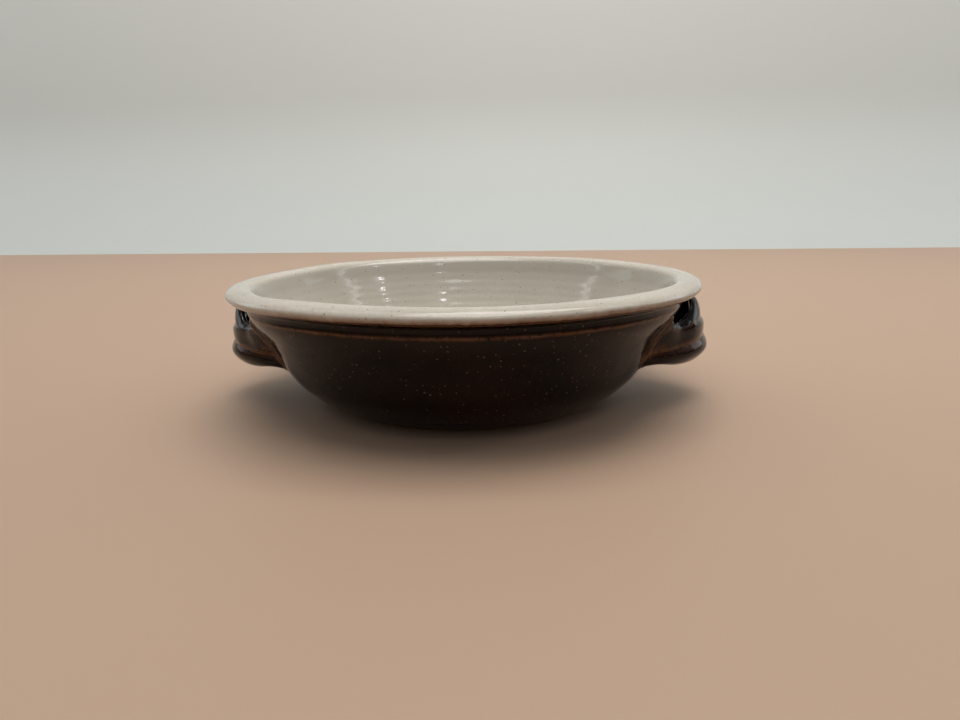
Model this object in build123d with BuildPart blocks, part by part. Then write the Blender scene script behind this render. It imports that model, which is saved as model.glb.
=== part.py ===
"""A low two-handled stoneware bowl: thrown body, pale liner glaze, dark outer glaze and two ribbed strap handles.

Millimetres, +Z up. The origin is on the surface that the bowl stands on, on the bowl's axis.
The handles lie along +X and -X. Outlines are given as (radius from the axis, height)."""

import os
from math import cos, pi

from build123d import *

os.makedirs("parts", exist_ok=True)

# Driving dimensions of the glazed bowl
rim_radius = 88.0
height = 47.3
foot_radius = 48.4
foot_ring_width = 6.5
foot_recess = 1.8
floor_top = 6.0
glaze_stop = 1.6  # the dark glaze ends this far above the foot's edge
liner_coat = 0.6
outer_coat = 0.7

# The lip: a broad rounded rim, 8 mm across, that overhangs the wall
lip_inner = (rim_radius - 8.0, height - 0.7)
lip_crest = (rim_radius - 4.4, height)
lip_shoulder = (rim_radius - 1.6, height - 0.8)
lip_outer = (rim_radius, height - 2.8)
lip_lower = (rim_radius - 1.5, height - 4.8)
lip_under = (rim_radius - 4.5, height - 5.5)

# The neck under the lip: a short upright band that ends in a turned line
recess = (rim_radius - 6.9, height - 6.8)
ridge = (rim_radius - 6.75, height - 9.2)

# The outer wall below the ridge, down to where the dark glaze stops
wall = [(80.6, 36.4), (76.6, 29.9), (71.9, 22.0), (68.3, 15.0), (63.2, 8.8), (56.0, 3.5)]
glaze_foot = (52.0, glaze_stop)

# The inside, from the flat floor to the lip
inside = [(38.0, 6.5), (52.0, 9.5), (61.5, 16.0), (68.0, 25.0), (73.0, 34.0), (77.0, 41.5)]

# Handle: a strap that springs from the wall each side of the handle's middle
handle_half_angle = 26.5  # where each root has run out on the wall
handle_top = 40.0
handle_bottom = 12.0
root_top = 32.5
root_bottom = 15.5
root_sink = 0.8  # how far the roots sink below the glaze
root_stand = 0.06  # the share of the middle's reach that is left where a root runs out
strap_sections = (-1.0, -0.8, -0.55, -0.28, 0.0, 0.28, 0.55, 0.8, 1.0)
finger_gap_half_width = 24.0
# The gap's middle and its furthest reach, at its lower and its upper end
finger_gap_low = (60.0, 85.2)
finger_gap_high = (70.0, 85.8)
gap_overrun = 4.0


def moved(point, outward, up):
    return (point[0] + outward, point[1] + up)


def wall_radius(z):
    """The glazed outer wall's radius at a height, by straight lines between the wall's points."""
    line = [(foot_radius, 0.0)] + wall[::-1] + [ridge, recess]
    for (r0, z0), (r1, z1) in zip(line, line[1:]):
        if z <= z1:
            return r0 + (r1 - r0) * (z - z0) / (z1 - z0)
    return recess[0]


# Clay surface: the glazed surface less its coat
clay_inside = [moved(p, liner_coat, -liner_coat) for p in inside]
clay_lip_inner = moved(lip_inner, liner_coat, -liner_coat)
clay_lip_crest = moved(lip_crest, 0, -liner_coat)
clay_lip_shoulder = moved(lip_shoulder, -0.45, -0.45)
clay_lip_outer = moved(lip_outer, -liner_coat, 0)
clay_lip_lower = moved(lip_lower, -0.4, 0.5)
clay_lip_under = moved(lip_under, 0, outer_coat)
clay_recess = moved(recess, -outer_coat, 0.3)
clay_ridge = moved(ridge, -outer_coat, 0)
clay_wall = [moved(p, -outer_coat, 0) for p in wall]
clay_glaze_foot = moved(glaze_foot, -outer_coat, 0)


def clay_outer_line():
    """The clay's outer surface from the lip's lower edge to where the dark glaze stops."""
    ThreePointArc(clay_lip_lower, clay_lip_under, clay_recess)
    Line(clay_recess, clay_ridge)
    Spline(clay_ridge, *clay_wall, clay_glaze_foot)


def clay_inner_line():
    """The clay's inner surface from the bowl's axis to the lip's lower edge."""
    Line((0, floor_top - liner_coat), clay_inside[0])
    Spline(*clay_inside, clay_lip_inner)
    ThreePointArc(clay_lip_inner, clay_lip_crest, clay_lip_shoulder)
    ThreePointArc(clay_lip_shoulder, clay_lip_outer, clay_lip_lower)


# Thrown body, with the turned foot: a low ring around a recessed base
with BuildPart() as thrown_body:
    with BuildSketch(Plane.XZ):
        with BuildLine():
            clay_inner_line()
            clay_outer_line()
            ring_inner = foot_radius - foot_ring_width
            Polyline(
                clay_glaze_foot,
                (foot_radius, 0),
                (ring_inner, 0),
                (ring_inner - foot_recess, foot_recess),
                (0, foot_recess),
                (0, floor_top - liner_coat),
            )
        make_face()
    revolve(axis=Axis.Z)
thrown_body.part.label = "thrown_body"

# Pale liner glaze: the floor, the inside wall and the lip
with BuildPart() as liner_glaze:
    with BuildSketch(Plane.XZ):
        with BuildLine():
            clay_inner_line()
            Line((0, floor_top - liner_coat), (0, floor_top))
            Line((0, floor_top), inside[0])
            Spline(*inside, lip_inner)
            ThreePointArc(lip_inner, lip_crest, lip_shoulder)
            ThreePointArc(lip_shoulder, lip_outer, lip_lower)
            Line(lip_lower, clay_lip_lower)
        make_face()
    revolve(axis=Axis.Z)
liner_glaze.part.label = "liner_glaze"


def across_strap(share):
    """How far the strap stands off the wall at a share of the half angle, as a share of its reach at its middle."""
    return root_stand + (1 - root_stand) * cos(pi / 2 * share) ** 0.9


# The strap's outline at its middle: three ribs between a rounded top edge and a rounded lower edge
top_inner = (84.0, 38.5)
top_crest = (86.0, 40.0)
top_shoulder = (88.2, 38.2)
upper_rib = (89.9, 34.8)
upper_valley = (89.9, 31.2)
middle_rib = (91.7, 28.2)
lower_valley = (91.0, 25.0)
lower_rib = (93.3, 20.4)
lower_turn = (90.3, 14.8)
lower_edge = (87.6, 12.8)
underside = (84.0, 12.4)
buried_depth = 4.0


def at_section(point, share):
    """A point of the middle outline carried to another section, where the strap is lower and nearer the wall."""
    r, z = point
    bottom = handle_bottom + (root_bottom - handle_bottom) * share * share
    top = handle_top + (root_top - handle_top) * abs(share) ** 0.8
    at = bottom + (z - handle_bottom) / (handle_top - handle_bottom) * (top - bottom)
    stand = (r - wall_radius(z) + root_sink) * across_strap(share)
    return (wall_radius(at) - root_sink + stand, at)


strap_outline = [
    top_inner,
    top_crest,
    top_shoulder,
    upper_rib,
    upper_valley,
    middle_rib,
    lower_valley,
    lower_rib,
    lower_turn,
    lower_edge,
    underside,
]

# The lug: the handle's outer shape, solid through to the wall
with BuildPart() as lug:
    for share in strap_sections:
        with BuildSketch(Plane.XZ.rotated((0, 0, share * handle_half_angle))):
            outline = [at_section(point, share) for point in strap_outline]
            with BuildLine():
                for first in range(0, len(outline) - 2, 2):
                    ThreePointArc(*outline[first : first + 3])
                start = outline[0]
                end = outline[-1]
                Polyline(
                    end,
                    (wall_radius(end[1]) - buried_depth, end[1]),
                    (wall_radius(start[1]) - buried_depth, start[1]),
                    start,
                )
            make_face()
    loft()

# The finger gap between strap and wall: it goes right through, and widens downwards
with BuildPart() as finger_gap:
    for z, (centre, reach) in (
        (handle_bottom - gap_overrun, finger_gap_low),
        (handle_top + gap_overrun, finger_gap_high),
    ):
        with BuildSketch(Plane.XY.offset(z)):
            with Locations((centre, 0)):
                Ellipse(reach - centre, finger_gap_half_width)
    loft()

with BuildPart() as right_handle:
    add(lug.part)
    add(finger_gap.part, mode=Mode.SUBTRACT)
    add(thrown_body.part, mode=Mode.SUBTRACT)
    add(liner_glaze.part, mode=Mode.SUBTRACT)
right_handle.part.label = "right_handle"

with BuildPart() as left_handle:
    mirror(right_handle.part, about=Plane.YZ)
left_handle.part.label = "left_handle"

# Dark outer glaze: from under the lip to just above the foot, open where the handles' roots are luted on
with BuildPart() as outer_glaze:
    with BuildSketch(Plane.XZ):
        with BuildLine():
            clay_outer_line()
            ThreePointArc(lip_lower, lip_under, recess)
            Line(recess, ridge)
            Spline(ridge, *wall, glaze_foot)
            Line(glaze_foot, clay_glaze_foot)
            Line(lip_lower, clay_lip_lower)
        make_face()
    revolve(axis=Axis.Z)
    add([right_handle.part, left_handle.part], mode=Mode.SUBTRACT)
outer_glaze.part.label = "outer_glaze"

for piece in (thrown_body, liner_glaze, outer_glaze, left_handle, right_handle):
    export_step(piece.part, f"parts/{piece.part.label}.step")
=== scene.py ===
"""Looks of a low two-handled stoneware bowl. Metres, +Z up, the bowl's axis through the origin.

Every visible piece is a mesh made here. The rim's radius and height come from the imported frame.
Outlines are in millimetres, as (radius from the axis, height), and angles run from +X."""

import math

import bpy
import numpy as np
from mathutils import Matrix, Vector


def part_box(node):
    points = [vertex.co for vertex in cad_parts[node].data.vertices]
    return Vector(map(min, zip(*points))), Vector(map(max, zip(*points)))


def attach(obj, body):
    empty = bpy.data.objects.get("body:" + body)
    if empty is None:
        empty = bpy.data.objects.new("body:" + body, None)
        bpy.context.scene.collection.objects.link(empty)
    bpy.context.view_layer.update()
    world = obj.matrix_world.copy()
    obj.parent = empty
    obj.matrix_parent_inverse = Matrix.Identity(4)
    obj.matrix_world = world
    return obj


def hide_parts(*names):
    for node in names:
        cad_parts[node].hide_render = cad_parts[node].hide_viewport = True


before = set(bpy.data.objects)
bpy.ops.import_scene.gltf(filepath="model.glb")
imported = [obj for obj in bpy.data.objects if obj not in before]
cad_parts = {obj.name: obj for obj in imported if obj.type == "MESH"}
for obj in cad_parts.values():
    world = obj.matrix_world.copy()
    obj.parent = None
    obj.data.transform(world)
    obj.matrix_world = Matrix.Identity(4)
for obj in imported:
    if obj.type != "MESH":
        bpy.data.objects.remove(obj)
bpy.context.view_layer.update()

MM = 0.001
_, rim_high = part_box("liner_glaze")
RIM = rim_high.y / MM
HEIGHT = rim_high.z / MM
AROUND = 720  # corners in each turned ring
ANGLE = np.linspace(-math.pi, math.pi, AROUND, endpoint=False)


# ---------------------------------------------------------------- camera

CAMERA_TURN = math.radians(4.8)  # how far round to the right of the bowl's front the camera stands
CAMERA_BACK = 3.064 * RIM * MM
CAMERA_UP = 0.863 * RIM * MM
CAMERA_PITCH = math.radians(13.17)
CAMERA_YAW = math.radians(1.18)
CAMERA_ROLL = math.radians(0.744)
CAMERA_LENS = 26.0
CAMERA_SENSOR = 36.0
CAMERA_NEAREST = 0.01


def make_camera():
    data = bpy.data.cameras.new("camera")
    data.lens = CAMERA_LENS
    data.sensor_width = CAMERA_SENSOR
    data.clip_start = CAMERA_NEAREST
    camera = bpy.data.objects.new("camera", data)
    turn = Matrix.Rotation(CAMERA_TURN, 4, "Z")
    place = Matrix.Translation((0, -CAMERA_BACK, CAMERA_UP))
    aim = Matrix.Rotation(-CAMERA_YAW, 4, "Z") @ Matrix.Rotation(math.pi / 2 - CAMERA_PITCH, 4, "X")
    roll = Matrix.Rotation(-CAMERA_ROLL, 4, "Z")
    camera.matrix_world = turn @ place @ aim @ roll
    bpy.context.scene.collection.objects.link(camera)
    bpy.context.scene.camera = camera


# ---------------------------------------------------------------- outlines

def smooth_line(points, step):
    """A natural cubic spline through the points, with a corner about every step millimetres."""
    points = np.array(points, float)
    chord = np.linalg.norm(np.diff(points, axis=0), axis=1)
    at = np.concatenate([[0], np.cumsum(chord)])
    n = len(points)
    system = np.eye(n)
    right = np.zeros((n, 2))
    for i in range(1, n - 1):
        before, after = chord[i - 1], chord[i]
        system[i, i - 1 : i + 2] = before, 2 * (before + after), after
        right[i] = 6 * ((points[i + 1] - points[i]) / after - (points[i] - points[i - 1]) / before)
    bend = np.linalg.solve(system, right)
    want = np.linspace(0, at[-1], max(2, int(at[-1] / step) + 1))
    k = np.clip(np.searchsorted(at, want, side="right") - 1, 0, n - 2)
    h = chord[k][:, None]
    b = ((want - at[k])[:, None]) / h
    a = 1 - b
    curve = (a**3 - a) * bend[k] + (b**3 - b) * bend[k + 1]
    return a * points[k] + b * points[k + 1] + curve * h**2 / 6


def lengths(line):
    """Each corner's distance along the outline."""
    return np.concatenate([[0], np.cumsum(np.linalg.norm(np.diff(line, axis=0), axis=1))])


def nearest_distance(line, point):
    """The distance along the outline of its corner nearest to a point."""
    return lengths(line)[np.argmin(np.linalg.norm(line - np.array(point), axis=1))]


def outward(line):
    """Unit normals, out of the clay, of an outline that runs over the lip from inside to outside."""
    way = np.gradient(line, axis=0)
    way /= np.linalg.norm(way, axis=1)[:, None]
    return np.stack([-way[:, 1], way[:, 0]], axis=1)


def along(line, distance):
    """The outline's point and its unit normal out of the clay, at each distance along it."""
    at = lengths(line)
    point, out = (
        np.stack([np.interp(distance, at, values[:, k]) for k in (0, 1)], axis=-1)
        for values in (line, outward(line))
    )
    return point, out / np.linalg.norm(out, axis=-1, keepdims=True)


INSIDE = [(0.0, 6.0), (20.0, 6.05), (38.0, 6.5), (52.0, 9.5),
          (61.5, 16.0), (68.0, 25.0), (73.0, 34.0), (77.0, 41.5)]
LIP_SHOULDER = (RIM - 1.9, HEIGHT - 0.75)
LIP_OUTER = (RIM, HEIGHT - 2.8)
LIP_LOWER = (RIM - 1.6, HEIGHT - 4.75)
LIP_TOP = [(RIM - 8.0, HEIGHT - 0.7), (RIM - 4.6, HEIGHT), LIP_SHOULDER, (RIM - 0.35, HEIGHT - 1.9)]
LIP_SIDE = [LIP_OUTER, (RIM - 0.35, HEIGHT - 3.65), LIP_LOWER, (RIM - 4.3, HEIGHT - 5.6)]
RECESS = (RIM - 6.75, HEIGHT - 6.9)
RIDGE = (RIM - 6.85, HEIGHT - 9.2)
WALL = [(80.7, 36.2), (76.6, 29.9), (71.9, 22.0), (68.3, 15.0), (63.2, 8.8), (56.0, 3.5), (52.0, 1.6)]

# The glazed outline in two overlapping parts: from the middle of the floor over the lip to the recess
# under it, and from the lip's outer edge down the wall to where the dark glaze stops
inner_line = smooth_line(INSIDE + LIP_TOP + LIP_SIDE + [RECESS], 0.3)
outer_line = smooth_line(LIP_SIDE + [RECESS, RIDGE] + WALL, 0.25)


def wall_radius(z):
    """The glazed wall's radius at a height below the lip."""
    upwards = outer_line[outer_line[:, 1] <= RECESS[1]][::-1]
    return np.interp(z, upwards[:, 1], upwards[:, 0])


# ---------------------------------------------------------------- hand-thrown unevenness

# Waves round the bowl: (size, how many in a turn, phase)
OVAL_WAVES = ((0.0016, 2, 0.7), (0.0008, 3, -1.1), (0.0005, 5, 2.0))  # in shares of the radius
RIM_WAVES = ((0.22, 2, -0.5), (0.14, 3, 1.9), (0.06, 7, 0.0))
GLAZE_WAVES = ((0.30, 2, 0.4), (0.22, 5, 1.3), (0.14, 9, 0.2))
GLAZE_RIPPLES = ((0.09, 23, 2.0), (0.06, 41, 0.9), (0.035, 97, 0.0))
FOOT_EDGE_WAVES = ((0.25, 3, 1.0), (0.18, 7, 0.0))
RIDGE_RIPPLES = ((0.10, 31, 0.0), (0.08, 53, 1.0))

DIP_DEPTH = 1.25  # the rim hangs this much lower over the left handle
DIP_ANGLE = math.radians(-170)
DIP_HALF_WIDTH = math.radians(42)
STEP_ANGLE = math.radians(-85.2) + 0.09  # the pale glaze's edge steps up here, near the front, and fades back
STEP_RISE = 0.55
STEP_WIDTH = 0.02
STEP_FADE = 0.5


def waves(angle, terms, shape=np.sin):
    """The sum of the waves at each angle."""
    return sum(size * shape(count * angle + phase) for size, count, phase in terms)


def hump(x, width):
    """A smooth rise to 1 where x is 0."""
    return np.exp(-((x / width) ** 2))


def thrown(co):
    """Moves points as a hand-thrown bowl is off true: a little oval, its rim wavy and lower on the left."""
    angle = np.arctan2(co[..., 1], co[..., 0])
    lift = np.clip(co[..., 2] / HEIGHT, 0, 1)
    from_dip = np.abs(np.mod(angle - DIP_ANGLE + math.pi, 2 * math.pi) - math.pi)
    dip = DIP_DEPTH * np.exp(-((from_dip / DIP_HALF_WIDTH) ** 6))
    out = co.copy()
    out[..., :2] *= (1 + waves(angle, OVAL_WAVES, np.cos) * lift)[..., None]
    out[..., 2] += waves(angle, RIM_WAVES, np.cos) * lift**3 - dip * lift**2
    return out


def glaze_edge():
    """How far the pale glaze's lower edge runs past the lip's lower corner, round the bowl."""
    past = ANGLE - STEP_ANGLE
    step = STEP_RISE * (0.5 + 0.5 * np.tanh(past / STEP_WIDTH)) * np.exp(-np.maximum(past, 0) / STEP_FADE)
    return waves(ANGLE, GLAZE_WAVES) + waves(ANGLE, GLAZE_RIPPLES) - step


# ---------------------------------------------------------------- meshes

def grid_faces(rows, columns, ring=False):
    """Quads over a grid of corners. The last column joins the first, and with ring the last row does too."""
    r = np.arange(rows if ring else rows - 1)[:, None]
    c = np.arange(columns)[None, :]
    here, after, beside = r * columns, (r + 1) % rows * columns, (c + 1) % columns
    quads = np.stack([here + c, here + beside, after + beside, after + c], axis=-1)
    return quads.reshape(-1, 4).tolist()


def capped(grid):
    """Corners and faces of a tube from its (rows, columns, 3) corners, each end closed on one more corner."""
    rows, columns = grid.shape[:2]
    co = np.concatenate([grid.reshape(-1, 3), [grid[0].mean(axis=0), grid[-1].mean(axis=0)]])
    first_middle, last_middle = len(co) - 2, len(co) - 1
    last = (rows - 1) * columns
    faces = grid_faces(rows, columns)
    faces += [(first_middle, (c + 1) % columns, c) for c in range(columns)]
    faces += [(last_middle, last + c, last + (c + 1) % columns) for c in range(columns)]
    return co, faces


def circles(points):
    """The circles that an outline sweeps. The outline is (rows, AROUND, 2), or (rows, 1, 2) if it is even."""
    radius, height = np.moveaxis(np.broadcast_to(points, (len(points), AROUND, 2)), -1, 0)
    return np.stack([radius * np.cos(ANGLE), radius * np.sin(ANGLE), height], axis=-1)


def make_object(name, co, faces, material, values=None):
    """A smooth-shaded mesh piece from corners in millimetres, with named values for the material to read."""
    mesh = bpy.data.meshes.new(name)
    mesh.from_pydata((co * MM).tolist(), [], faces)
    mesh.update()
    for key, numbers in (values or {}).items():
        layer = mesh.attributes.new(key, "FLOAT", "POINT")
        layer.data.foreach_set("value", np.asarray(numbers, np.float32))
    mesh.polygons.foreach_set("use_smooth", [True] * len(mesh.polygons))
    mesh.materials.append(material)
    made = bpy.data.objects.new(name, mesh)
    bpy.context.scene.collection.objects.link(made)
    return made


# ---------------------------------------------------------------- turned pieces

LINER_COAT = 0.6
OUTER_COAT = 0.7
CLAY_GAP = 0.02        # between the clay and the back of each coat
AXIS_CLEARANCE = 0.3   # rows nearer the axis give way to one corner on it
OVERLAP = 1.2          # how far the dark coat starts before the pale coat's edge
OUTER_ROWS = 260
CLAY_STOP = 1.5        # the clay's wall ends at this height and its foot ring begins
FOOT_RING = [(51.0, 1.3), (49.9, 0.55), (48.9, 0.08), (47.2, 0.02), (45.9, 0.0),
             (44.6, 0.02), (42.7, 0.12), (41.9, 0.7), (41.2, 1.5), (39.6, 1.85)]
BASE_RADIUS, BASE_HEIGHT = 39.2, 1.85  # the shallow recess inside the foot ring


def make_liner(material):
    """The pale coat: floor, inside wall and lip, down to a wavy edge under it, and back along the clay."""
    lower = nearest_distance(inner_line, LIP_LOWER)
    shoulder = nearest_distance(inner_line, LIP_SHOULDER)
    at = lengths(inner_line)
    used = at[at <= lower][:, None]
    edge = lower + glaze_edge()
    share = np.clip((used - shoulder) / (lower - shoulder), 0, 1)
    distance = used + share * (edge - lower)
    surface, out = along(inner_line, distance)
    to_edge = edge - distance
    bead = 0.05 * hump(to_edge - 0.7, 0.45) - 0.22 * hump(to_edge, 0.18)
    throwing_rings = 0.035 * np.sin(used / 0.62) * hump(used - 62, 40)
    front = surface + out * (bead + throwing_rings * (share < 1))[..., None]
    back = (surface - out * LINER_COAT)[::-1]
    both = np.concatenate([front, back])
    to_edge = np.concatenate([to_edge, to_edge[::-1]])
    off_axis = both[:, 0, 0] > AXIS_CLEARANCE
    both, to_edge = both[off_axis], to_edge[off_axis]
    co, faces = capped(circles(both))
    values = np.concatenate([to_edge.ravel(), [to_edge[0, 0], to_edge[-1, -1]]])
    return make_object("pale_liner_glaze", thrown(co), faces, material, {"to_edge": values})


def make_outer(material):
    """The dark coat: from under the pale coat's edge, over recess and ridge, to a soft edge at the foot."""
    start = nearest_distance(outer_line, LIP_LOWER) + glaze_edge() - OVERLAP
    stop = lengths(outer_line)[-1] + waves(ANGLE, FOOT_EDGE_WAVES) - 0.4
    share = np.linspace(0, 1, OUTER_ROWS)[:, None]
    distance = start * (1 - share) + stop * share
    surface, out = along(outer_line, distance)
    past_start, to_stop = distance - start, stop - distance
    tucked = -0.16 * np.clip(1.6 - past_start, 0, 1)
    roll = 0.12 * hump(to_stop - 0.9, 0.6) - 0.5 * hump(to_stop, 0.25)
    z = surface[..., 1]
    above_ridge = z - RIDGE[1]
    on_wall = np.clip((-2 - above_ridge) / 6, 0, 1)
    turning_rings = 0.012 * np.sin(z / 0.8 + 0.6 * np.sin(ANGLE)) * on_wall
    wobble = waves(ANGLE, RIDGE_RIPPLES)
    ridge_line = 0.09 * hump(above_ridge - 0.25 * wobble, 0.5)
    front = surface + out * (tucked + roll + turning_rings + ridge_line)[..., None]
    back = (surface - out * OUTER_COAT)[::-1]
    under_lip = 0.85 * hump(past_start - 1.5, 0.55)
    rust_and_highlight = np.maximum(hump(above_ridge + 0.15 - 0.5 * wobble, 0.55), under_lip)
    grid = circles(np.concatenate([front, back]))
    faces = grid_faces(len(grid), AROUND, ring=True)
    values = np.concatenate([rust_and_highlight, rust_and_highlight[::-1]]).ravel()
    return make_object("dark_outer_glaze", thrown(grid.reshape(-1, 3)), faces, material, {"rust_and_highlight": values})


def make_clay(material):
    """The thrown body under both coats, with its turned foot: a rounded ring round a shallow recess."""
    inner = inner_line - outward(inner_line) * (LINER_COAT + CLAY_GAP)
    outer = outer_line - outward(outer_line) * (OUTER_COAT + CLAY_GAP)
    before_lip = lengths(inner_line) < nearest_distance(inner_line, LIP_OUTER)
    inner = inner[before_lip & (inner[:, 0] > AXIS_CLEARANCE)]
    outer = outer[outer[:, 1] > CLAY_STOP]
    base_r = np.arange(BASE_RADIUS, 0.4, -0.5)
    base_z = BASE_HEIGHT + 0.05 * np.sin(base_r / 0.42) + 0.25 * (1 - (base_r / BASE_RADIUS) ** 2)
    base = np.stack([base_r, base_z], axis=1)
    line = np.concatenate([inner, outer, smooth_line(FOOT_RING, 0.25), base])
    line[:, 1] = np.maximum(line[:, 1], 0.0)
    co, faces = capped(circles(line[:, None]))
    return make_object("clay_body", thrown(co), faces, material)


# ---------------------------------------------------------------- handles

HALF_ANGLE = math.radians(26.5)  # from a handle's middle to where each root runs out on the wall
ROOT_RADIUS = 76.0      # the wall's radius at the roots
TOP_CREST, BOTTOM_CREST = 40.0, 12.0
UPPER_VALLEY, LOWER_VALLEY = 31.2, 25.0
ROOT_RIDGE = 1.1        # how far the smeared edge of a root stands off the wall
SECOND_RIDGE = 0.9      # and a second, softer one nearer the handle's middle
BURIED = 2.4            # how deep a root goes into the wall's clay
PIT_AT, PIT_RADIUS = (0.80, 21.4), 2.0  # (share of the half angle, height) of the finger pit by each root
PIT_RUST_AT, PIT_RUST_RADIUS = (0.80, 22.9), 2.2
DISH_AT, DISH_RADIUS, DISH_DEPTH = (0.60, 26.0), 4.2, 0.9

# The outer face at the handle's middle: three ribs, each starting with an edge just under a valley
LOWER_RIB = [(81.5, 12.0), (86.0, 13.4), (89.2, 15.4), (91.8, 18.0),
             (92.9, 20.4), (92.85, 21.9), (92.35, 23.5), (91.6, LOWER_VALLEY)]
MIDDLE_RIB = [(91.6, LOWER_VALLEY), (91.85, 26.4), (91.9, 28.3), (91.5, 30.1), (90.3, UPPER_VALLEY)]
UPPER_RIB = [(90.3, UPPER_VALLEY), (90.6, 33.0), (90.4, 35.2), (89.5, 37.6), (87.6, 40.0)]
outer_face = np.concatenate([smooth_line(rib, 0.1) for rib in (LOWER_RIB, MIDDLE_RIB, UPPER_RIB)])
outer_face_z = np.maximum.accumulate(outer_face[:, 1] + np.arange(len(outer_face)) * 1e-6)

# The strap's edges as (share of the half angle, height)
TOP_EDGE = [(0, 40.2), (0.10, 39.7), (0.22, 37.8), (0.36, 34.8), (0.50, 32.6),
            (0.64, 31.6), (0.78, 32.4), (0.90, 35.6), (1.03, 39.4)]
BOTTOM_EDGE = [(0, 12.4), (0.25, 13.1), (0.48, 14.7), (0.64, 16.0),
               (0.77, 16.7), (0.88, 16.4), (0.96, 15.7), (1.03, 15.2)]

# The finger gap is an upright oval whose middle moves outwards, so that it narrows, with height
GAP_BOTTOM, GAP_TALL = 8.0, 36.0
GAP_MIDDLE, GAP_MIDDLE_SHIFT = 60.0, 10.0
GAP_REACH = 85.3
GAP_HALF_WIDTH = 24.0
GAP_SWEEP = 1.45  # radians of the oval to each side of the handle's middle


def strap_section(corners, width=5.5, tall=28.0, cap=0.20):
    """An even walk round a strap's section, whose top and bottom edges are round caps:
    (share of the way from inner to outer face, share of the height)."""
    arc = np.linspace(0, math.pi, 200)
    x = np.concatenate([np.cos(arc), -np.cos(arc), [1.0]])
    y = np.concatenate([1 - cap + cap * np.sin(arc), cap - 1 - cap * np.sin(arc), [1 - cap]])
    walk = np.concatenate([[0], np.cumsum(np.hypot(np.diff(x) * width / 2, np.diff(y) * tall / 2))])
    want = np.linspace(0, walk[-1], corners, endpoint=False)
    return 0.5 + 0.5 * np.interp(want, walk, x), 0.5 + 0.5 * np.interp(want, walk, y)


def softer_max(a, b, blend):
    """The larger of the two, with a fillet where they cross."""
    gap = np.clip(0.5 + 0.5 * (a - b) / blend, 0, 1)
    return b + (a - b) * gap + blend * gap * (1 - gap)


def edge_height(far, points):
    """A strap edge's height at each share of the half angle, eased round the points."""
    kernel = np.exp(-np.linspace(-2, 2, 25) ** 2)
    height = np.pad(np.interp(far[:, 0], *zip(*points)), 12, mode="edge")
    return np.convolve(height, kernel / kernel.sum(), "valid")[:, None]


def spot(far, z, at, radius):
    """A round spot by each root, at a share of the half angle and a height."""
    across = (far - at[0]) * HALF_ANGLE * ROOT_RADIUS
    return np.exp(-((across**2 + (z - at[1]) ** 2) / radius**2))


def handle_stand(far, level, z, middle, side, pit_depth, further):
    """How far the outer face stands off the wall: the ribs at the middle, smeared ridges at the roots."""
    reach = np.interp(middle, outer_face_z, outer_face[:, 0]) - wall_radius(middle)
    reach = reach + np.interp(middle, [20.0, 36.0], further)
    sweep = np.clip(1 - (far / 0.90) ** 2, 0, 1)
    bowed = far + 0.035 * (2 * level - 1) ** 2 + 0.012 * np.sin(9 * level + 2 * side)
    roots = ROOT_RIDGE * hump(bowed - 0.965, 0.030) + SECOND_RIDGE * hump(bowed - 0.845, 0.035) + 0.25
    sinking = 1.6 * np.clip((bowed - 0.99) / 0.04, 0, 1)
    corner = np.clip((far - 0.84) / 0.16, 0, 1) * np.clip((np.abs(2 * level - 1) - 0.62) / 0.38, 0, 1)
    stand = softer_max(reach * sweep, roots - sinking - 2.2 * corner, 1.2)
    pit = pit_depth * spot(far, z, PIT_AT, PIT_RADIUS)
    return stand - pit - DISH_DEPTH * spot(far, z, DISH_AT, DISH_RADIUS)


def handle_rust_and_highlight(far, z, middle):
    """Where the glaze thins to rust, and painted highlight: the ribs' creases, the lower rib's edge, the
    roots' edges and pits. The lines along the ribs' creases and the roots' edges are partly painted
    highlight, where light from above catches.
    """
    # Rust and painted highlight along the ribs' creases
    rust_and_highlight = hump(middle - UPPER_VALLEY - 0.7, 0.8) * np.clip(1.25 - far, 0, 1)
    rust_and_highlight = np.maximum(rust_and_highlight, hump(middle - LOWER_VALLEY - 0.5, 0.8))
    rust_and_highlight = np.maximum(rust_and_highlight, 0.35 * hump(middle - 23.4, 1.6))
    # Rust and painted highlight along the roots' edges
    rust_and_highlight = np.maximum(rust_and_highlight, 0.7 * hump(far - 0.985, 0.022))
    rust_and_highlight = np.maximum(rust_and_highlight, 0.5 * spot(far, z, PIT_RUST_AT, PIT_RUST_RADIUS))
    return np.clip(1.3 * rust_and_highlight, 0, 1)


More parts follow.
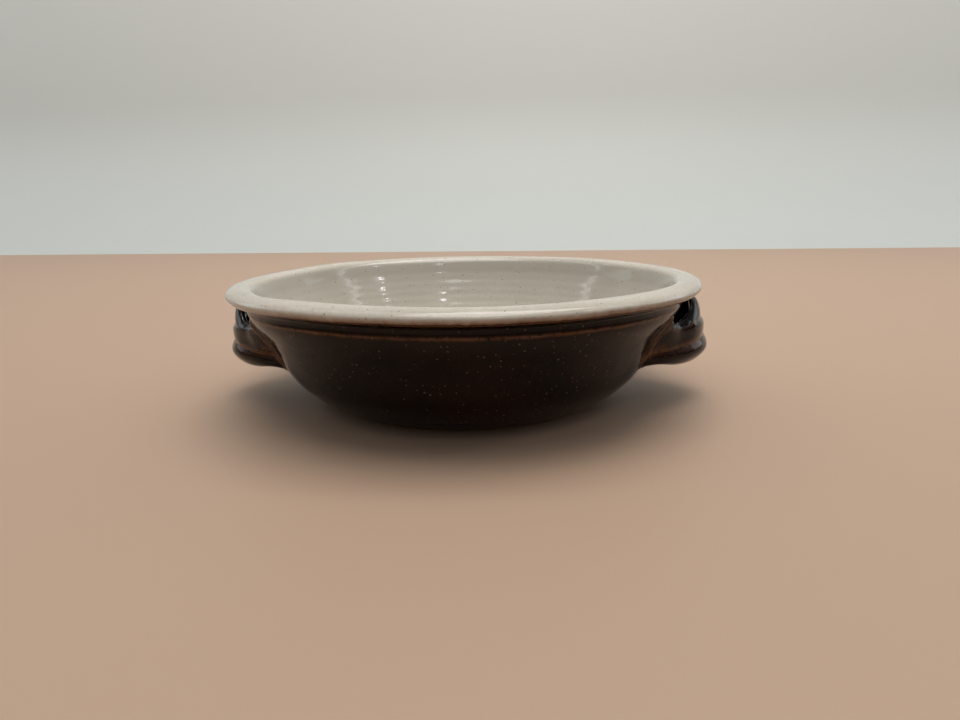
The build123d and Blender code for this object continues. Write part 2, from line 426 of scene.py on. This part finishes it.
def make_handle(name, side, material, pit_depth, lift, further):
    """A pulled strap with three ribs. Its middle rises to under the lip and its roots are pressed on to
    the wall. Lift raises its lower edge and valleys. Further stands its face out, below and above."""
    past_roots = np.array([1.008, 1.018, 1.03])
    s = np.concatenate([-past_roots[::-1], np.linspace(-1, 1, 261), past_roots])[:, None]
    share, level = (v[None, :] for v in strap_section(300))
    far = np.abs(s)
    top = edge_height(far, TOP_EDGE)
    bottom = edge_height(far, BOTTOM_EDGE) + lift
    upper = np.minimum(UPPER_VALLEY + lift - 1.6 * far**1.2, top - 2.4)
    lower = LOWER_VALLEY + lift - 4.6 * far**1.1
    z = bottom + level * (top - bottom)

    # Height on the middle section that matches each corner's height here
    def matched(low, high, middle_low, middle_high):
        return middle_low + (z - low) / (high - low) * (middle_high - middle_low)

    above = np.where(z < upper, matched(lower, upper, LOWER_VALLEY, UPPER_VALLEY),
                     matched(upper, top, UPPER_VALLEY, TOP_CREST))
    middle = np.where(z < lower, matched(bottom, lower, BOTTOM_CREST, LOWER_VALLEY), above)
    r_out = wall_radius(z) + handle_stand(far, level, z, middle, side, pit_depth, further)
    angle = s * HALF_ANGLE
    outer = np.stack([r_out * np.cos(angle), r_out * np.sin(angle)], axis=-1)

    # The inner face follows the finger gap. Near the roots it stays inside the wall's clay
    centre = GAP_MIDDLE + GAP_MIDDLE_SHIFT * (z - GAP_BOTTOM) / GAP_TALL
    top_ease = 2.2 * np.clip((z - 34) / 6, 0, 1) ** 2
    bottom_ease = 5.5 * np.clip((24 - z) / 12, 0, 1) ** 1.5
    gap_reach = GAP_REACH - top_ease - bottom_ease
    turn = s * GAP_SWEEP
    x, y = centre + (gap_reach - centre) * np.cos(turn), GAP_HALF_WIDTH * np.sin(turn)
    inner = np.stack(np.broadcast_arrays(x, y), axis=-1)
    deep = np.linalg.norm(inner, axis=-1)
    inner *= (softer_max(deep, wall_radius(z) - BURIED, 3.0) / deep)[..., None]

    place = inner + share[..., None] * (outer - inner)
    co, faces = capped(np.concatenate([place, z[..., None]], axis=-1))
    on_face = np.clip(share * 3 - 2, 0, 1)
    # Rust and painted highlight lines, on the outer face only
    rust_and_highlight = handle_rust_and_highlight(far, z, middle) * on_face
    co[:, 0] *= side
    if side < 0:
        faces = [f[::-1] for f in faces]
    return make_object(name, thrown(co), faces, material, {"rust_and_highlight": np.concatenate([rust_and_highlight.ravel(), [0, 0]])})


# ---------------------------------------------------------------- materials

class Nodes:
    """Short calls for building one material's nodes."""

    def __init__(self, name):
        self.material = bpy.data.materials.new(name)
        self.material.use_nodes = True
        self.tree = self.material.node_tree
        self.shader = self.tree.nodes["Principled BSDF"]
        self.place = self.add("ShaderNodeTexCoord").outputs["Object"]

    def add(self, kind, **settings):
        node = self.tree.nodes.new(kind)
        for key, value in settings.items():
            setattr(node, key, value)
        return node

    def join(self, source, socket):
        if hasattr(source, "links"):
            self.tree.links.new(source, socket)
        else:
            socket.default_value = source

    def value(self, name):
        return self.add("ShaderNodeAttribute", attribute_name=name).outputs["Fac"]

    def maths(self, kind, a, b):
        node = self.add("ShaderNodeMath", operation=kind)
        self.join(a, node.inputs[0])
        self.join(b, node.inputs[1])
        return node.outputs[0]

    def times(self, a, b):
        return self.maths("MULTIPLY", a, b)

    def range(self, source, low, high, to_low=0.0, to_high=1.0):
        node = self.add("ShaderNodeMapRange", interpolation_type="SMOOTHSTEP")
        ends = {"From Min": low, "From Max": high, "To Min": to_low, "To Max": to_high}
        for key, value in {"Value": source, **ends}.items():
            self.join(value, node.inputs[key])
        return node.outputs["Result"]

    def stretched(self, x, y, z):
        node = self.add("ShaderNodeMapping")
        self.join(self.place, node.inputs["Vector"])
        node.inputs["Scale"].default_value = (x, y, z)
        return node.outputs["Vector"]

    def noise(self, scale, detail, rough=0.5, where=None):
        node = self.add("ShaderNodeTexNoise")
        self.join(where or self.place, node.inputs["Vector"])
        node.inputs["Scale"].default_value = scale
        node.inputs["Detail"].default_value = detail
        node.inputs["Roughness"].default_value = rough
        return node.outputs["Fac"]

    def specks(self, scale, size, often):
        """Round specks, one at most to a cell of 1/scale metres, and a number from 0 to 1 for each.
        Size is the largest speck's radius, as a share of a cell."""
        cells = self.add("ShaderNodeTexVoronoi")
        self.join(self.place, cells.inputs["Vector"])
        cells.inputs["Scale"].default_value = scale
        parts = self.add("ShaderNodeSeparateColor")
        self.join(cells.outputs["Color"], parts.inputs["Color"])
        chosen = self.range(parts.outputs["Red"], 1 - often, 1.0, 0.0, size)
        edge = self.maths("SUBTRACT", chosen, cells.outputs["Distance"])
        return self.range(edge, 0.0, size * 0.35), parts.outputs["Green"]

    def mix(self, share, a, b):
        node = self.add("ShaderNodeMix", data_type="RGBA")
        self.join(share, node.inputs["Factor"])
        for colour, socket in ((a, node.inputs["A"]), (b, node.inputs["B"])):
            self.join(colour if hasattr(colour, "links") else (*colour, 1.0), socket)
        return node.outputs["Result"]

    def ramp(self, share, stops):
        node = self.add("ShaderNodeValToRGB")
        self.join(share, node.inputs["Fac"])
        points = node.color_ramp.elements
        while len(points) < len(stops):
            points.new(0.5)
        for point, (at, colour) in zip(points, stops):
            point.position = at
            point.color = (*colour, 1.0)
        return node.outputs["Color"]

    def bump(self, height, distance):
        node = self.add("ShaderNodeBump")
        self.join(height, node.inputs["Height"])
        node.inputs["Distance"].default_value = distance
        return node.outputs["Normal"]

    def finish(self, colour, rough, normal, **fixed):
        self.join(colour, self.shader.inputs["Base Color"])
        self.join(rough, self.shader.inputs["Roughness"])
        self.join(normal, self.shader.inputs["Normal"])
        for key, value in fixed.items():
            self.shader.inputs[key.replace("_", " ")].default_value = value
        return self.material


CREAM = ((0.620, 0.560, 0.468), (0.670, 0.612, 0.518))
CREAM_GRAIN = (0.50, 0.465, 0.385)
CREAM_PAINTED_SHADE = (0.420, 0.388, 0.325)  # painted shade: a darker band on the inside wall under the lip, fading towards the floor
PALE_FINE_SPECK = (0.30, 0.25, 0.19)
PALE_COARSE_SPECK = ((0.10, 0.065, 0.045), (0.26, 0.19, 0.13))
# From the pale glaze's very edge, brown over the dark coat, to where it is nearly full
PALE_EDGE = [(0.0, (0.040, 0.012, 0.004)), (0.05, (0.10, 0.04, 0.016)), (0.16, (0.25, 0.165, 0.115)),
             (0.45, (0.40, 0.335, 0.275)), (1.0, (0.55, 0.51, 0.44))]

BROWN_BLACK = ((0.0040, 0.0016, 0.0009), (0.0140, 0.0052, 0.0022))
RUN_BROWN = (0.050, 0.016, 0.005)
DARK_FINE_SPECK = (0.085, 0.042, 0.020)
DARK_FLECK = ((0.12, 0.050, 0.020), (0.17, 0.130, 0.090))
# Rust-brown, also used on the handles as painted highlight along the ribs' creases and the roots' edges
RUST_AND_HIGHLIGHT = ((0.155, 0.052, 0.016), (0.200, 0.098, 0.046))

CLAY = ((0.20, 0.115, 0.068), (0.29, 0.185, 0.115))
SAND = ((0.08, 0.045, 0.028), (0.42, 0.32, 0.22))


def pale_glaze():
    """Gloss grey-cream glaze with fine iron specks, and painted shade in a band on the inside wall under the
    lip. It thins to tan and then brown at its lower edge.
    """
    n = Nodes("pale_glaze")
    colour = n.mix(n.range(n.noise(55, 4), 0.35, 0.65), *CREAM)
    grain = n.range(n.noise(700, 2), 0.3, 0.7)
    colour = n.mix(n.times(grain, 0.35), colour, CREAM_GRAIN)
    # Painted shade: the inside wall under the lip is darkened, fading out towards the floor
    from_lip = n.range(n.value("to_edge"), 11.5, 14.5)
    to_floor = n.range(n.value("to_edge"), 14.0, 52.0, 1.0, 0.0)
    colour = n.mix(n.times(n.times(from_lip, to_floor), 0.90), colour, CREAM_PAINTED_SHADE)
    fine, _ = n.specks(1300, 0.30, 0.45)
    colour = n.mix(n.times(fine, 0.30), colour, PALE_FINE_SPECK)
    coarse, tone = n.specks(560, 0.19, 0.90)
    colour = n.mix(n.times(coarse, 0.85), colour, n.mix(tone, *PALE_COARSE_SPECK))
    ragged = n.times(n.maths("SUBTRACT", n.noise(420, 3), 0.5), 1.1)
    edge = n.range(n.maths("ADD", n.value("to_edge"), ragged), 0.0, 4.0)
    colour = n.mix(n.range(edge, 0.35, 1.0), n.ramp(edge, PALE_EDGE), colour)
    normal = n.bump(n.noise(240, 2), 0.00006)
    return n.finish(colour, 0.11, normal, IOR=1.5)


def dark_glaze():
    """Gloss brown-black glaze: rust where it thins on an edge, with rust and tan flecks and faint runs. On
    the handles the same rust colour is also painted highlight along the ribs' creases and the roots' edges.
    """
    n = Nodes("dark_glaze")
    colour = n.mix(n.range(n.noise(45, 4), 0.35, 0.7), *BROWN_BLACK)
    runs = n.noise(1.0, 3, 0.6, n.stretched(520, 520, 30))
    runs = n.times(n.range(runs, 0.56, 0.74), n.range(n.noise(30, 2), 0.45, 0.65))
    colour = n.mix(n.times(runs, 0.40), colour, RUN_BROWN)
    fine, _ = n.specks(1150, 0.26, 0.25)
    colour = n.mix(n.times(fine, 0.40), colour, DARK_FINE_SPECK)
    coarse, tone = n.specks(600, 0.27, 0.95)
    colour = n.mix(n.times(coarse, 0.60), colour, n.mix(tone, *DARK_FLECK))
    short_breaks = n.range(n.noise(520, 4, 0.65), 0.22, 0.52)
    long_breaks = n.range(n.noise(70, 2), 0.30, 0.60, 0.60, 1.0)
    # Rust where the glaze thins; on the handles partly painted highlight
    rust_and_highlight = n.times(n.times(n.value("rust_and_highlight"), short_breaks), long_breaks)
    colour = n.mix(n.times(rust_and_highlight, 0.85), colour, n.mix(n.noise(300, 2), *RUST_AND_HIGHLIGHT))
    rough = n.range(n.noise(120, 3), 0.3, 0.7, 0.08, 0.14)
    normal = n.bump(n.noise(210, 2), 0.00010)
    return n.finish(colour, rough, normal, IOR=1.5, Specular_IOR_Level=0.20)


def bare_clay():
    """Fired stoneware left bare at the foot: toasted brown, sandy and matt."""
    n = Nodes("bare_clay")
    colour = n.mix(n.range(n.noise(60, 4), 0.3, 0.7), *CLAY)
    sand, tone = n.specks(900, 0.35, 0.5)
    colour = n.mix(n.times(sand, 0.6), colour, n.mix(tone, *SAND))
    normal = n.bump(n.noise(1500, 4, 0.7), 0.00012)
    return n.finish(colour, 0.82, normal)


def stage_paint(name, colour):
    """Matt paint with a faint, broad unevenness."""
    n = Nodes(name)
    tint = n.mix(n.noise(1.5, 2), colour, tuple(0.97 * c for c in colour))
    return n.finish(tint, 0.55, n.bump(n.noise(300, 2), 0.00001))


# ---------------------------------------------------------------- stage and light, in metres

STAGE_HALF_WIDTH = 5.0
FLOOR_FRONT = -3.0
WALL_BEND = 0.25   # radius of the rounded corner between floor and wall
WALL_START = 0.75  # how far behind the bowl's axis the floor begins to turn up
WALL_TOP = 2.6
FLOOR_COLOUR = (0.52, 0.355, 0.25)
WALL_COLOUR = (0.62, 0.64, 0.61)

WHITE, WARM_WHITE = (1.0, 1.0, 1.0), (1.0, 0.98, 0.95)
COOL_LEFT, COOL_RIGHT = (0.93, 0.98, 1.0), (0.92, 0.97, 1.0)
BOWL, BACK_WALL = (0, 0, 0.03), (0, 1.5, 0.35)
LAMP = (0.02, 0.02)
LIGHTS = [  # each area light's name, place, size, power, colour and the point that it faces
    ("overhead_softbox", (0.08, -0.04, 1.05), (1.0, 0.7), 7.4, WARM_WHITE, BOWL),
    ("wall_wash", (0.0, 0.2, 1.0), (3.6, 0.3), 9.5, WHITE, BACK_WALL),
    ("panel_left", (-1.5, 0.62, 0.55), (0.7, 0.5), 1.0, COOL_LEFT, BOWL),
    ("panel_right", (1.5, 0.62, 0.50), (0.8, 0.6), 1.8, COOL_RIGHT, BOWL),
    ("lamp_front", (0.40, -0.95, 1.10), LAMP, 0.25, WHITE, BOWL),
    ("lamp_right", (1.0, -0.25, 1.10), LAMP, 0.25, WHITE, BOWL),
    ("lamp_left", (-0.90, 0.55, 1.05), LAMP, 0.25, WHITE, BOWL),
]

ROOM_COLOUR = (0.95, 0.97, 1.0, 1.0)
ROOM_STRENGTH = (0.08, 0.45)  # level with the bowl, and above
ROOM_FULL_AT = 0.9            # the upward part of the direction from which it is at its brightest


def make_stage():
    """A plain pale floor, and a plain paler wall that rises behind it from a rounded corner."""
    floor_line = [(FLOOR_FRONT, 0.0), (0.0, 0.0), (WALL_START, 0.0)]
    wall_line = [(WALL_START + WALL_BEND * math.sin(a), WALL_BEND - WALL_BEND * math.cos(a))
                 for a in np.linspace(0, math.pi / 2, 16)]
    wall_line.append((WALL_START + WALL_BEND, WALL_TOP))
    made = []
    parts = (("stage_floor", floor_line, FLOOR_COLOUR), ("stage_wall", wall_line, WALL_COLOUR))
    for name, line, colour in parts:
        co = np.array([(x, y, z) for y, z in line for x in (-STAGE_HALF_WIDTH, STAGE_HALF_WIDTH)]) / MM
        faces = [(2 * i, 2 * i + 1, 2 * i + 3, 2 * i + 2) for i in range(len(line) - 1)]
        made.append(make_object(name, co, faces, stage_paint(name + "_paint", colour)))
    return made


def make_light(name, place, size, power, colour, aim):
    data = bpy.data.lights.new(name, "AREA")
    data.shape = "RECTANGLE"
    data.size, data.size_y = size
    data.energy = power
    data.color = colour
    light = bpy.data.objects.new(name, data)
    light.location = place
    light.rotation_euler = (Vector(aim) - Vector(place)).to_track_quat("-Z", "Y").to_euler()
    bpy.context.scene.collection.objects.link(light)


def make_room():
    """A dim room all round that is brighter above."""
    world = bpy.data.worlds.new("room")
    world.use_nodes = True
    tree = world.node_tree
    sky = tree.nodes["Background"]
    sky.inputs["Color"].default_value = ROOM_COLOUR
    way = tree.nodes.new("ShaderNodeTexCoord")
    split = tree.nodes.new("ShaderNodeSeparateXYZ")
    rise = tree.nodes.new("ShaderNodeMapRange")
    ends = {"From Min": 0.0, "From Max": ROOM_FULL_AT, "To Min": ROOM_STRENGTH[0], "To Max": ROOM_STRENGTH[1]}
    for key, value in ends.items():
        rise.inputs[key].default_value = value
    tree.links.new(way.outputs["Generated"], split.inputs["Vector"])
    tree.links.new(split.outputs["Z"], rise.inputs["Value"])
    tree.links.new(rise.outputs["Result"], sky.inputs["Strength"])
    bpy.context.scene.world = world


# ---------------------------------------------------------------- the scene

make_camera()
make_room()
for light in LIGHTS:
    make_light(*light)
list(make_stage())

clay, pale, dark = bare_clay(), pale_glaze(), dark_glaze()
left = dict(side=-1, pit_depth=1.9, lift=-0.6, further=(0.3, 0.3))
right = dict(side=1, pit_depth=1.3, lift=0.3, further=(0.0, -1.1))
pieces = [
    (make_clay(clay), "thrown_body", "stoneware_clay"),
    (make_liner(pale), "liner_glaze", "pale_glaze"),
    (make_outer(dark), "outer_glaze", "dark_glaze"),
    (make_handle("ribbed_left_handle", material=dark, **left), "left_handle", "dark_glaze"),
    (make_handle("ribbed_right_handle", material=dark, **right), "right_handle", "dark_glaze"),
]
for piece, node, slot in pieces:
    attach(piece, "root")
    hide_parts(node)

bpy.context.scene.view_settings.view_transform = "Standard"
